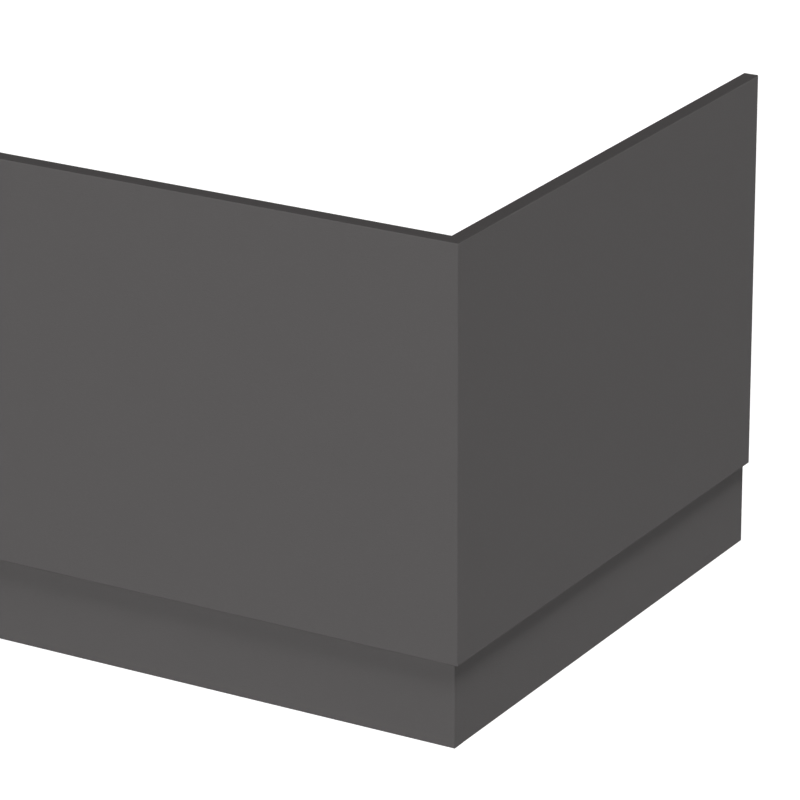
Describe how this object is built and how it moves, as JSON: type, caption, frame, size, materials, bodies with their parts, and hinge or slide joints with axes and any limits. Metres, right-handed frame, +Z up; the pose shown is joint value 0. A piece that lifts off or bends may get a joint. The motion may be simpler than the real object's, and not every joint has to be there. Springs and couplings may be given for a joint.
{
  "type": "bath panel",
  "caption": "L-shaped bath panel: a plain front board and end board that meet at a corner, each over a recessed plinth, to close in the open sides of a bath.",
  "frame": {"origin": "middle of the footprint's bounding box, on the floor", "axes": "+X along the front panel towards the corner, +Y from the front face towards the wall behind, +Z up"},
  "size_m": [1.69, 0.69, 0.575],
  "materials": {
    "wrapped_board": "fibreboard wrapped in matt dark grey foil",
    "zinc_steel": "bright zinc-plated steel strip"
  },
  "bodies": {
    "root": {"front_panel": "wrapped_board", "end_panel": "wrapped_board", "front_plinth": "wrapped_board", "end_plinth": "wrapped_board", "bracket_upper": "zinc_steel", "bracket_lower": "zinc_steel", "bracket_plinth": "zinc_steel"}
  },
  "joints": []
}
